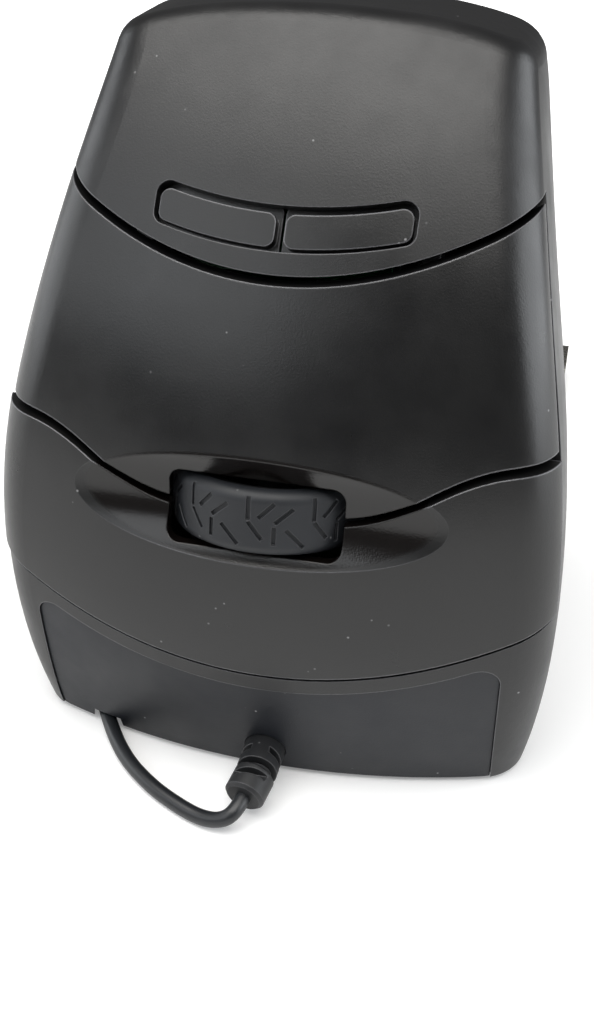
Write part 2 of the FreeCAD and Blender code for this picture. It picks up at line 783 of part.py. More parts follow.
def hand_key(side):
    """One of the two small keys; side is -1 for the left one."""
    inner_x = hand_key_split / 2
    x0, x1 = sorted((side * inner_x, side * hand_key_half))
    cap = on_brow(hand_outline(x0, x1, -hand_half_high, hand_half_high, -4, 6, 1.1))
    cap = cap.common(form(hand_key_sunk, foot_stand))
    cap = cap.cut(form(hand_key_sunk + hand_key_thick, foot_stand, False))
    grown = on_brow(hand_outline(x0 - 0.4, x1 + 0.4, -hand_half_high - 1.2, hand_half_high + 1.4, -4, 8, 1.1))
    near, far = wall + 0.1, wall + 0.1 + hand_flange
    flange = grown.common(form(near, foot_stand, False)).cut(form(far, foot_stand, False))
    x = side * hand_stem_x
    tip = hand_board_n - hand_switch_high - hand_plunger_out - press_gap
    stem = on_brow(rod(1.2, (x, 0.9, brow_level(x)), (x, tip, brow_level(x))))
    stem = stem.common(form(hand_key_sunk + 0.6, foot_stand, False))
    neck = on_brow(hand_outline(x0 + 0.8, x1 - 0.8, -hand_half_high + 0.5, hand_half_high - 0.5, -4, 8, 0.9))
    neck = neck.common(form(hand_key_sunk + 0.8, foot_stand, False)).cut(form(far, foot_stand, False))
    return largest(fuse([cap, flange, neck, stem]))


# Cord: real line, in straight runs joined by tangent arcs

front = -depth / 2
boot_start = (cable_x, front_y(cable_z + boot_radius) + inlay_depth + seat, cable_z)
flange_y = front_y(floor_z) + wall + 0.1      # clear of the leaning wall
boot_bend = (cable_x, front - 1.0, cable_z - 0.4)
boot_end = (0.35, front - 4.7, cable_z - 1.2)
cord_z = cable_radius                         # lying on the table
first_bend = V(*boot_end) + (V(*boot_end) - V(*boot_bend)).normalize() * 2.3
near_route = [(-1.7, front - 7.6, 1.8), (-4.5, front - 7.0, cord_z), (-8.0, front - 5.6, cord_z),
              (-12.4, front - 3.2, cord_z), (-17.5, front + 1.0, cord_z), (-22.0, front + 7.2, cord_z),
              (-27.5, front + 16.7, cord_z), (-32.7, front + 29.7, cord_z), (-36.3, front + 45.3, cord_z),
              (-36.6, front + 63.3, cord_z), (-32.9, front + 80.9, cord_z)]


def bend_radius(a, b, c):
    """Radius of the arc that rounds point b."""
    run = min((b - a).Length, (c - b).Length)
    return 0.45 * run / math.tan((b - a).getAngle(c - b) / 2)


def corded(points):
    """Line of straight runs with a tangent arc at each inner point."""
    places = [V(*p) for p in points]
    edges, at = [], places[0]
    for a, b, c in zip(places, places[1:], places[2:]):
        into, away = (b - a).normalize(), (c - b).normalize()
        trim = 0.45 * min((b - a).Length, (c - b).Length)
        radius = bend_radius(a, b, c)
        half = into.getAngle(away) / 2
        inward = (away - into).normalize()
        middle = b + inward * (radius / math.cos(half) - radius)
        start, end = b - into * trim, b + away * trim
        edges.append(Part.LineSegment(at, start).toShape())
        edges.append(Part.Arc(start, middle, end).toShape())
        at = end
    edges.append(Part.LineSegment(at, places[-1]).toShape())
    return Part.Wire(edges)


def tube(path, radius):
    """Eight-sided cord along a path, its flats level where it lies; prints what it holds."""
    edge = path.Edges[0]
    at = edge.valueAt(edge.FirstParameter)
    way = edge.tangentAt(edge.FirstParameter)
    side = way.cross(V(0, 0, 1)).normalize()
    up = side.cross(way)
    far = radius / math.cos(math.pi / cord_sides)
    turns = [2 * math.pi * (i + 0.5) / cord_sides for i in range(cord_sides)]
    ring = [at + side * (far * math.cos(t)) + up * (far * math.sin(t)) for t in turns]
    shape = path.makePipeShell([Part.makePolygon(ring + ring[:1])], True, False)
    section_area = cord_sides * radius ** 2 * math.tan(math.pi / cord_sides)
    print("cord", round(path.Length, 1), "mm, volume over section times length",
          round(shape.Volume / (section_area * path.Length), 4))
    return shape


# Coil of the cord's unseen length, tied, close behind the mouse


def coil_arcs():
    """Half turns as arcs: a steady spiral in and out, a layer higher at each reversal."""
    cx, cy = coil_middle
    side, out, level = -1, coil_outer, coil_z
    spot = V(cx + side * out, cy, level)
    start = spot - V(0, coil_lead, 0)
    edges = [Part.LineSegment(start, spot).toShape()]
    for layer, halves in enumerate(layer_halves):
        step = -coil_pitch / 2 if layer % 2 == 0 else coil_pitch / 2
        for _ in range(halves):
            out += step
            side = -side
            goal = V(cx + side * out, cy, level)
            radius = (goal - spot).Length / 2
            middle = (goal + spot) / 2 + V(0, side * radius, 0)
            edges.append(Part.Arc(spot, middle, goal).toShape())
            spot = goal
        if layer + 1 < len(layer_halves):
            side = -side
            level += layer_pitch
            goal = V(cx + side * out, cy, level)
            edges += climbing_half(spot, goal, V(0, side, 0))
            spot = goal
    edges.append(Part.LineSegment(spot, spot + V(0, coil_lead, 0)).toShape())
    return edges, start, spot + V(0, coil_lead, 0)


def climbing_half(start, goal, way):
    """Half turn that climbs, as two quarter arcs."""
    far = (goal - start).Length / 2
    top = (start + goal) / 2 + way * far
    first = touching_arc(start, way, top)
    last = touching_arc(goal, way, top)
    return [first, last]


def touching_arc(start, way, goal):
    """Arc from a point along a direction to another point."""
    chord = goal - start
    along = V(chord).normalize()
    side = (way - along * way.dot(along)).normalize()
    turn = way.getAngle(chord)
    middle = (start + goal) / 2 + side * (chord.Length / 2 * math.tan(turn / 2))
    return Part.Arc(start, middle, goal).toShape()


coil_edges, coil_start, coil_end = coil_arcs()
run_points = [boot_end, tuple(first_bend)] + near_route
run_points += [(coil_start.x, coil_start.y - 7.5, coil_z), tuple(coil_start)]

tail_points = [tuple(coil_end), (coil_end.x, coil_end.y + 8, coil_end.z),
               (coil_end.x + 1.5, plug_y - 5.5, 6.2), (plug_x - 8.5, plug_y, plug_half_high),
               (plug_x, plug_y, plug_half_high)]


def coil_gap():
    """Least gap between the coil's turns, measured on points along its middle line."""
    spots = Part.Wire(coil_edges).discretize(Distance=0.7)
    skip = 40             # points that lie within a half turn along the cord
    near = min(p.distanceToPoint(q) for i, p in enumerate(spots) for q in spots[i + skip:])
    return near - 2 * cable_radius


def cable_run():
    return tube(corded(run_points), cable_radius)


def cable_coil():
    return tube(Part.Wire(coil_edges), cable_radius)


def cable_tail():
    return tube(corded(tail_points), cable_radius)


def cable_ties():
    """Two straps round the coil's turns, which stands on them."""
    cx, cy = coil_middle
    high = coil_z + layer_pitch * (len(layer_halves) - 1) + cable_radius
    low_r, high_r = coil_inner - cable_radius - 0.5, coil_outer + cable_radius + 0.1
    ties = []
    for side in (-1, 1):
        y0, y1 = sorted((cy + side * low_r, cy + side * high_r))
        t = tie_thick
        strap = box(cx - tie_width / 2, cx + tie_width / 2, y0 - t, y1 + t, 0, high + t + 0.1)
        strap = strap.makeFillet(1.2, [e for e in strap.Edges if e.BoundBox.XLength > 0.9 * tie_width])
        hollow = box(cx - tie_width, cx + tie_width, y0, y1, t, high + 0.1)
        hollow = hollow.makeFillet(0.6, [e for e in hollow.Edges if e.BoundBox.XLength > 1.9 * tie_width])
        ties.append(strap.cut(hollow))
    return group(ties)


# Plug at the cord's far end


def bar_x(x0, x1, half_wide, z0, z1, radius):
    """Bar along X in line with the plug, with rounded long edges."""
    block = box(x0, x1, plug_y - half_wide, plug_y + half_wide, z0, z1)
    return block.makeFillet(radius, [e for e in block.Edges if e.BoundBox.XLength > 0.9 * (x1 - x0)])


plug_face = plug_x + plug_boot + plug_length


def plug_metal(grow):
    low, high = plug_half_high - plug_shell_half_high - grow, plug_half_high + plug_shell_half_high + grow
    return bar_x(plug_face - plug_shell_in, plug_face + plug_shell_out, plug_shell_half + grow,
                 low, high, 0.5)


def plug_body():
    x0 = plug_x + plug_boot
    block = bar_x(x0, x0 + plug_length, plug_half_wide, 0, 2 * plug_half_high, 2.0)
    boot = Part.makeCone(cable_radius + 0.9, cable_radius + 2.2, plug_boot + 1,
                         V(plug_x, plug_y, plug_half_high), V(1, 0, 0))
    rings = [ring_cut(plug_x + 1.6 + 1.7 * i) for i in range(3)]
    return largest(fuse([block, boot.cut(rings)]).cut(plug_metal(seat)))


def ring_cut(x):
    """Groove round the plug's boot."""
    place, way = V(x, plug_y, plug_half_high), V(1, 0, 0)
    return Part.makeCylinder(5, 0.7, place, way).cut(Part.makeCylinder(cable_radius + 0.7, 0.7, place, way))


def plug_shell():
    hollow = plug_metal(-plug_shell_wall)
    hollow.translate(V(plug_shell_wall, 0, 0))
    hollow = fuse([hollow, plug_metal(-plug_shell_wall)])
    body = plug_metal(0).cut(hollow)
    windows = []
    for side in (-1, 1):
        x, y = plug_face + 5.6, plug_y + side * 3.0
        windows.append(box(x, x + 2.0, y - 1.1, y + 1.1, plug_half_high + 1, 2 * plug_half_high))
    return largest(body.cut(fuse(windows)))


def plug_tongue():
    """Plastic tongue with its four contacts' slots along the top."""
    low = plug_half_high - plug_shell_half_high + plug_shell_wall + seat
    half = plug_shell_half - plug_shell_wall - seat
    tongue = box(plug_face - plug_shell_in + 1, plug_face + plug_shell_out - 0.4,
                 plug_y - half, plug_y + half, low, low + tongue_thick)
    slots = [contact_box(i, 0.0) for i in range(4)]
    return largest(tongue.common(plug_metal(-plug_shell_wall - seat)).cut(slots))


def contact_box(i, shrink):
    top = plug_half_high - plug_shell_half_high + plug_shell_wall + seat + tongue_thick
    y = plug_y + (i - 1.5) * 2.3
    return box(plug_face + 2 + shrink, plug_face + 10.5 - shrink, y - 0.6 + shrink, y + 0.6 - shrink,
               top - 0.4 + shrink, top - 0.1 if shrink else top + 1)


def plug_contacts():
    return group([contact_box(i, seat) for i in range(4)])


# Strain relief: two slotted drums outside, a neck through the base's wall, a flange inside

def strain_relief():
    x, _, z = boot_start
    drum_end = (x, boot_bend[1] + 0.4, z - 0.3)
    first = rod(boot_radius, boot_start, drum_end)
    neck = rod(boot_neck_radius, (x, flange_y + flange_thick, z), (x, drum_end[1], z))
    web = rod(boot_neck_radius, drum_end, boot_bend)
    second = rod(boot_radius, boot_bend, boot_end)
    second = second.makeChamfer(0.4, [e for e in second.Edges if e.Length > 10])
    flange = rod(boot_radius + 0.6, (x, flange_y, z), (x, flange_y + flange_thick, z))
    flange = flange.common(box(-depth, depth, -depth, depth, floor_z + seat, depth))
    body = fuse([first, neck, web, second, flange])
    slots = []
    middle = (boot_start[1] + drum_end[1]) / 2 - 0.4
    for side in (-1, 1):
        x0, x1 = sorted((x + side * 1.1, x + side * 4))
        slots.append(box(x0, x1, middle - 0.45, middle + 0.45, z - 4, z + 4))
    slots += top_slots()
    return largest(body.cut(fuse(slots)).cut(rod(0.6, (x, 0, z), (x, flange_y + 0.8, z))))


def top_slots():
    """Slots over and under the second drum, square to its axis."""
    x, y, z = ((a + b) / 2 for a, b in zip(boot_bend, boot_end))
    return [box(x - 4, x + 4, y - 0.4, y + 0.4, z + side * 2.9 - 1.3, z + side * 2.9 + 1.3)
            for side in (-1, 1)]


# Wires inside


def inner_cable():
    """The cord's core, from the strain relief to its header on the main board."""
    x, _, z = boot_start
    start = flange_y + flange_thick + seat
    points = [(x, start, z), (x, start + 5.5, z), (2.6, front + 18.0, 6.0),
              (header_x - 0.4, header_front - 9.7, header_z - 1.8), (header_x, header_front - 5.2, header_z),
              (header_x, header_front - seat, header_z)]
    return tube(corded(points), cable_radius)


def main_board():
    plate = box(-board_half, board_half, board_front, board_back, board_z, board_top)
    holes = [rod(board_screw_radius + 0.15, (x, y, 0), (x, y, 2 * board_z))
             for x, y in both_sides(board_posts)]
    return plate.cut(holes + [box(-3, 3, sensor_y - 3, sensor_y + 3, 0, 2 * board_z)])


def motion_sensor():
    body = box(-4.95, 4.95, sensor_y - 5.2, sensor_y + 6.2, board_top + seat, board_top + 3.0)
    legs = []
    for side in (-1, 1):
        for i in range(4):
            x0, x1 = sorted((side * 4.9, side * 5.9))
            y = sensor_y + 0.5 + (i - 1.5) * 2.4
            legs.append(box(x0, x1, y - 0.3, y + 0.3, board_top + seat, board_top + 1.6))
    return fuse([body] + legs)


def sensor_lens():
    """Clear lens piece: window in the floor, a flange on it, a column up to the board."""
    low = box(-4.6, 4.6, sensor_y - 3.6, sensor_y + 3.6, foot_stand + 0.6, floor_z + 0.5)
    flange = box(-8.5, 8.5, sensor_y - 6.0, sensor_y + 12.0, floor_z + seat, floor_z + 2.0)
    column = box(-4.0, 4.0, sensor_y - 4.0, sensor_y + 4.0, floor_z + 1.5, board_z - seat)
    window_up = box(-2.8, 2.8, sensor_y - 2.8, sensor_y + 2.8, floor_z + 1.5, board_top - seat)
    return fuse([low, flange, column, window_up])


def sensor_led():
    y0 = sensor_y + 6.6
    z = board_top + 2.2
    body = fuse([rod(1.5, (0, y0, z), (0, y0 + 4, z)), rod(1.9, (0, y0 + 4, z), (0, y0 + 4.8, z))])
    legs = [box(side * 1.27 - 0.25, side * 1.27 + 0.25, y0 + 3.6, y0 + 4.1, board_top + seat, z)
            for side in (-1, 1)]
    return fuse([body] + legs)


def controller_chip():
    body = box(-14.0, -7.0, 3.0, 10.0, board_top + 0.15, board_top + 1.2)
    legs = []
    for i in range(6):
        y = 3.9 + 1.04 * i
        legs.append(box(-14.9, -6.1, y - 0.2, y + 0.2, board_top + seat, board_top + 0.3))
    return fuse([body] + legs)


def cable_header():
    return box(header_x - 4.2, header_x + 4.2, header_front, header_front + 4.2,
               board_top + seat, board_top + 4.6)


# Wheel and its carrier, in the wheel's frame


def wheel_tyre():
    """Rubber tyre with the zigzag tread, repeated round it."""
    half = wheel_width / 2
    ring = Part.makeCylinder(wheel_radius, wheel_width, V(0, 0, -half))
    ring = ring.makeFillet(tyre_round, [e for e in ring.Edges if e.Length > 1.9 * math.pi * wheel_radius])
    ring = ring.cut(Part.makeCylinder(hub_radius + seat, wheel_width, V(0, 0, -half)))
    around = 2 * math.pi * wheel_radius / tread_repeats
    grooves = []
    for k in range(tread_repeats):
        for along, up, length, slope in tread:
            groove = box(-length / 2, length / 2, -tread_depth, tread_depth,
                         -tread_width / 2, tread_width / 2)
            groove.rotate(V(0, 0, 0), V(0, 1, 0), -slope)
            groove.translate(V(0, -wheel_radius, up))
            groove.rotate(V(0, 0, 0), V(0, 0, 1), math.degrees((along + k * around) / wheel_radius))
            grooves.append(groove)
    return in_place(ring.cut(grooves))


def wheel_hub():
    rim = Part.makeCylinder(hub_radius, 2 * hub_half, V(0, 0, -hub_half))
    rim = rim.cut(Part.makeCylinder(hub_radius - hub_rim, 2 * hub_half, V(0, 0, -hub_half)))
    web = Part.makeCylinder(hub_radius - hub_rim / 2, 2 * hub_web, V(0, 0, -hub_web))
    boss = Part.makeCylinder(hub_boss, 2 * (arm_near - 0.3), V(0, 0, -arm_near + 0.3))
    bore = Part.makeCylinder(axle_radius + seat, 2 * arm_near, V(0, 0, -arm_near))
    return in_place(fuse([rim, web, boss]).cut(bore))


def wheel_axle():
    return in_place(Part.makeCylinder(axle_radius, axle_low + axle_high, V(0, 0, -axle_low)))


def wheel_carrier():
    """Fork that holds the axle and slides on the bracket's two guide posts."""
    back = web_y + web_thick
    arms = [box(-arm_half, arm_half, -3.2, back, side * (arm_near + arm_thick / 2) - arm_thick / 2,
                side * (arm_near + arm_thick / 2) + arm_thick / 2) for side in (-1, 1)]
    spine = box(-arm_half, arm_half, web_y, back, -arm_near - arm_thick, arm_near + arm_thick)
    web = box(-web_half, web_half, web_y, back, -4.5, 4.5)
    guides = [Part.makeCylinder(guide_boss, guide_long, V(s * guide_x, web_y, 0), V(0, 1, 0))
              for s in (-1, 1)]
    pad_tip = board_y - wheel_switch_high - wheel_plunger_out - press_gap
    pad = Part.makeCylinder(pad_radius, pad_tip - web_y, V(0, web_y, 0), V(0, 1, 0))
    bores = [Part.makeCylinder(guide_radius + run_fit, board_y, V(s * guide_x, 0, 0), V(0, 1, 0))
             for s in (-1, 1)]
    bores.append(Part.makeCylinder(axle_radius + run_fit, 4 * axle_low, V(0, 0, -2 * axle_low)))
    return in_place(fuse(arms + [spine, web, pad] + guides).cut(bores))


def scroll_encoder():
    """Rotary encoder under the lower arm, turned by the axle's end."""
    a, b = encoder_half
    top = -arm_near - arm_thick
    body = box(-a, a, -b, b, top - encoder_high, top - seat)
    return in_place(body.cut(Part.makeCylinder(axle_radius + run_fit, axle_low, V(0, 0, -axle_low - 0.3))))


# Bracket with the upright board and its switches


def bracket():
    """Upright support of the wheel carrier and the board, on two feet."""
    plate = box(-plate_half, plate_half, plate_y, plate_y + plate_thick, plate_foot, plate_top)
    arch = box(-arch_half_x, arch_half_x, plate_y - 1, plate_y + 3, plate_foot - 1, arch_top)
    guides = [Part.makeCylinder(guide_radius, plate_y - web_y + guide_out + 0.5,
                                V(s * guide_x, web_y - guide_out, 0), V(0, 1, 0)) for s in (-1, 1)]
    holes = [rod(board_screw_radius + screw_fit, (s * x, plate_y - 2, z), (s * x, plate_y + 4, z))
             for x, z in upright_screws for s in (-1, 1)]
    upright = in_place(fuse([plate.cut(arch).cut(holes)] + guides))
    (x0, x1), (y0, y1) = bracket_foot_x, bracket_foot_y
    foot = box(x0, x1, y0, y1, bracket_z, bracket_z + bracket_foot_thick)
    x, y = bracket_post
    foot = foot.cut(rod(board_screw_radius + 0.15, (x, y, 0), (x, y, 2 * bracket_z)))
    web = [(y0 + 5, bracket_z + 1), (y1 - 2, bracket_z + 1), (y1 - 1.6, bracket_z + 12),
           (y0 + 5, bracket_z + 1)]
    gusset = Part.Face(Part.makePolygon([V(x1 - 2, y, z) for y, z in web]))
    gusset = gusset.extrude(V(2, 0, 0))
    body = fuse([upright, foot, mirrored(foot), gusset, mirrored(gusset)])
    return largest(body.common(box(-depth, depth, -depth, depth, bracket_z, 2 * depth)))


def button_board():
    plate = box(-upright_half, upright_half, board_y, plate_y - seat, upright_low, upright_top)
    holes = [rod(guide_radius + 0.3, (s * guide_x, 0, 0), (s * guide_x, 2 * board_y, 0)) for s in (-1, 1)]
    holes += [rod(board_screw_radius + 0.15, (x, 0, z), (x, 2 * board_y, z))
              for x, z in both_sides(upright_screws)]
    return in_place(plate.cut(holes))


def click_switch(x, z, plunger_x):
    """Body of a click switch on the upright board, with its plunger's guide."""
    a, b = click_half
    front = board_y - switch_high
    body = box(x - a, x + a, front, board_y - seat, z - b, z + b)
    bore = rod(plunger_radius + run_fit, (plunger_x, front - 1, z), (plunger_x, front + 1.8, z))
    return in_place(body.cut(bore))


def click_plunger(x, z):
    front = board_y - switch_high
    return in_place(rod(plunger_radius, (x, front - plunger_out, z), (x, front + 1.3, z)))


def wheel_switch():
    a = wheel_switch_half
    front = board_y - wheel_switch_high
    body = box(-a, a, front, board_y - seat, -a, a)
    return in_place(body.cut(rod(wheel_plunger_radius + run_fit, (0, front - 1, 0), (0, front + 1.9, 0))))


def wheel_plunger():
    front = board_y - wheel_switch_high
    return in_place(rod(wheel_plunger_radius, (0, front - wheel_plunger_out, 0), (0, front + 1.4, 0)))


# Board behind the handedness keys, in the brow's frame


def hand_board():
    plate = box(-hand_board_half, hand_board_half, hand_board_n, hand_board_n + hand_board_thick,
                hand_board_low, hand_board_high)
    holes = [rod(board_screw_radius + 0.15, (x, 0, w), (x, 2 * hand_board_n, w))
             for x, w in both_sides(((hand_post_x, hand_post_w),))]
    return on_brow(plate.cut(holes))


def hand_switches():
    """Two small push switches on the board."""
    a = hand_switch_half
    front = hand_board_n - hand_switch_high
    both = []
    for side in (-1, 1):
        x = side * hand_stem_x
        w = brow_level(x)
        body = box(x - a, x + a, front, hand_board_n - seat, w - a, w + a)
        both.append(body.cut(rod(hand_plunger_radius + run_fit, (x, front - 1, w), (x, front + 1.5, w))))
    return on_brow(group(both))


def hand_plunger(side):
    x = side * hand_stem_x
    w = brow_level(x)
    face = hand_board_n - hand_switch_high
    return on_brow(rod(hand_plunger_radius, (x, face - hand_plunger_out, w), (x, face + 1.1, w)))


# Fasteners and feet

def screw(seat_at, way, head_radius, head_tall, radius, length):
    """Cheese-head screw; way points along its shaft."""
    at, way = V(*seat_at), V(*way).normalize()
    head = Part.makeCylinder(head_radius, head_tall, at - way * head_tall, way)
    return head.fuse(Part.makeCylinder(radius, length, at, way))


def small_screw(seat_at, way, length):
    return screw(seat_at, way, board_screw_head, small_head_high, board_screw_radius, length)


def housing_screws():
    return group([screw((x, y, head_seat), (0, 0, 1), screw_head, head_high, screw_radius, screw_length)
                  for x, y in both_sides((fore_boss, rear_boss))])


def board_screws():
    long = board_thick + board_screw_length - 0.5
    return group([small_screw((x, y, board_top + seat), (0, 0, -1), long)
                  for x, y in both_sides(board_posts)])


def bracket_screws():
    top = bracket_z + bracket_foot_thick + seat
    long = bracket_foot_thick + board_screw_length - 0.5
    return group([small_screw((x, y, top), (0, 0, -1), long) for x, y in both_sides((bracket_post,))])


def upright_board_screws():
    long = board_thick + plate_thick - 0.2
    return in_place(group([small_screw((x, board_y - seat, z), (0, 1, 0), long)
                           for x, z in both_sides(upright_screws)]))


def hand_board_screws():
    top = hand_board_n + hand_board_thick + seat
    long = hand_board_thick + hand_screw_deep
    return on_brow(group([small_screw((x, top, w), (0, -1, 0), long)
                          for x, w in both_sides(((hand_post_x, hand_post_w),))]))


def glide_feet():
    pads = [foot_pad(spot, 0, foot_stand + foot_recess) for spot in (foot_fore, foot_rear)]
    return group(pads + [mirrored(p) for p in pads])


# Ribbons between the boards

def ribbon(points, x0, x1, thick):
    """Flat strip through points of a side view."""
    path = corded([(0, y, z) for y, z in points])
    start = path.Edges[0]
    way = start.tangentAt(start.FirstParameter)
    at = start.valueAt(start.FirstParameter)
    up = way.cross(V(1, 0, 0)) * (thick / 2)
    near, far = V(x0, 0, 0), V(x1, 0, 0)
    ring = Part.makePolygon([at + near + up, at + far + up, at + far - up, at + near - up, at + near + up])
    return path.makePipeShell([ring], True, False)


def link_ribbon():
    """From the main board, under the bracket's arch, to the upright board's front."""
    goal = from_wheel(board_y - seat, -15.5)
    before = from_wheel(board_y - 3.5, -15.5)
    y = board_front + 2.2
    points = [(y, board_top + seat), (y, board_top + 3.6), (y - 5.7, board_top + 3.4),
              (before[0] - 0.4, board_top + 4.6), before, goal]
    return ribbon(points, -8.4, -2.4, 0.5)


def hand_ribbon():
    """From the upright board's top edge to the board behind the handedness keys."""
    low = from_wheel(board_y - seat, upright_top - 3.5)
    knee = from_wheel(board_y - 4.0, upright_top - 2.8)
    high_n, high_w = hand_board_n + hand_board_thick + seat, 1.5
    c, s = math.cos(brow_lean), math.sin(brow_lean)
    top = (front_y(hand_z) + high_n * c + high_w * s, hand_z - high_n * s + high_w * c)
    near = (top[0] + 3.0 * c, top[1] - 3.0 * s)
    return ribbon([low, knee, near, top], 1.0, 6.0, 0.5)


pieces = {
    "upper_key": upper_key,
    "lower_key": lower_key,
    "housing_shell": shell,
    "housing_base": base,
    "front_inlay": inlay,
    "left_hand_key": lambda: hand_key(-1),
    "right_hand_key": lambda: hand_key(1),
    "wheel_tyre": wheel_tyre,
    "wheel_hub": wheel_hub,
    "wheel_axle": wheel_axle,
    "wheel_carrier": wheel_carrier,
    "scroll_encoder": scroll_encoder,
    "bracket": bracket,
    "button_board": button_board,
    "upper_click_switch": lambda: click_switch(0.0, switch_z, upper_post_x),
    "upper_click_plunger": lambda: click_plunger(upper_post_x, switch_z),
    "lower_click_switch": lambda: click_switch(low_switch_x, low_switch_z, low_switch_x),
    "lower_click_plunger": lambda: click_plunger(low_switch_x, low_switch_z),
    "wheel_click_switch": wheel_switch,
    "wheel_click_plunger": wheel_plunger,
    "hand_board": hand_board,
    "hand_switches": hand_switches,
    "left_hand_plunger": lambda: hand_plunger(-1),
    "right_hand_plunger": lambda: hand_plunger(1),
    "main_board": main_board,
    "motion_sensor": motion_sensor,
    "sensor_lens": sensor_lens,
    "sensor_led": sensor_led,
    "controller_chip": controller_chip,
    "cable_header": cable_header,
    "link_ribbon": link_ribbon,
    "hand_ribbon": hand_ribbon,
    "inner_cable": inner_cable,
    "strain_relief": strain_relief,
    "housing_screws": housing_screws,
    "board_screws": board_screws,
    "bracket_screws": bracket_screws,
    "upright_board_screws": upright_board_screws,
    "hand_board_screws": hand_board_screws,
    "glide_feet": glide_feet,
    "cable_run": cable_run,
    "cable_coil": cable_coil,
    "cable_tail": cable_tail,
    "cable_ties": cable_ties,
    "plug_body": plug_body,
    "plug_shell": plug_shell,
    "plug_tongue": plug_tongue,
    "plug_contacts": plug_contacts,
}
for name, make in pieces.items():
    save(make(), name)

radii = [bend_radius(*[V(*p) for p in trio]) for points in (run_points, tail_points)
         for trio in zip(points, points[1:], points[2:])]
print("bend radii of the cord, mm:", [round(r, 1) for r in radii])
print("least gap of the coil to itself, mm:", round(coil_gap(), 2))
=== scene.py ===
import math

import bpy
from mathutils import Matrix, Vector


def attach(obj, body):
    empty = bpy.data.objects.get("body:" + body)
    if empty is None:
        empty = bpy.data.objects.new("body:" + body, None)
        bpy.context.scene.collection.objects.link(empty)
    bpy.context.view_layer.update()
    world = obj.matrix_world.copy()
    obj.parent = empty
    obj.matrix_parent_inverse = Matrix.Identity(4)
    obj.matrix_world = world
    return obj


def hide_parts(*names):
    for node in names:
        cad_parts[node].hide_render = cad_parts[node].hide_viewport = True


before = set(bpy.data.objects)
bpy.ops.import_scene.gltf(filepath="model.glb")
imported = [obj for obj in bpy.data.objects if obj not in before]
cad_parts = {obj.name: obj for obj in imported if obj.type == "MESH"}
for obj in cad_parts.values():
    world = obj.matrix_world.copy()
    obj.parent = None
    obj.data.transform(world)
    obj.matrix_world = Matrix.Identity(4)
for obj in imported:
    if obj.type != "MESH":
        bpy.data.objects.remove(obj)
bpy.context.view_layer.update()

# Housing shell and base
# Two injection mouldings in black ABS: the shell makes the flanks, back, crown and brow, and
# the base stands under it with its front wall tucked in. Four screws from below pull them
# together along the smile seam. The tools' fine spark texture leaves a satin skin.


def colour(code):
    """An sRGB hex code as linear RGBA."""
    parts = [int(code[i:i + 2], 16) / 255 for i in (1, 3, 5)]
    return tuple(c / 12.92 if c <= 0.04045 else ((c + 0.055) / 1.055) ** 2.4 for c in parts) + (1.0,)


def per_metre(mm):
    """The scale of a texture whose pattern repeats in this many millimetres."""
    return 1000 / mm


def add(tree, kind, settings=None, links=None):
    """Adds a node, sets its properties or inputs, and links its inputs."""
    made = tree.nodes.new(kind)
    for key, value in (settings or {}).items():
        if isinstance(key, str) and hasattr(made, key):
            setattr(made, key, value)
        else:
            made.inputs[key].default_value = value
    for key, source in (links or {}).items():
        tree.links.new(source, made.inputs[key])
    return made


def new_material(name):
    """A new material and its empty node tree."""
    material = bpy.data.materials.new(name)
    material.use_nodes = True
    material.node_tree.nodes.clear()
    return material, material.node_tree


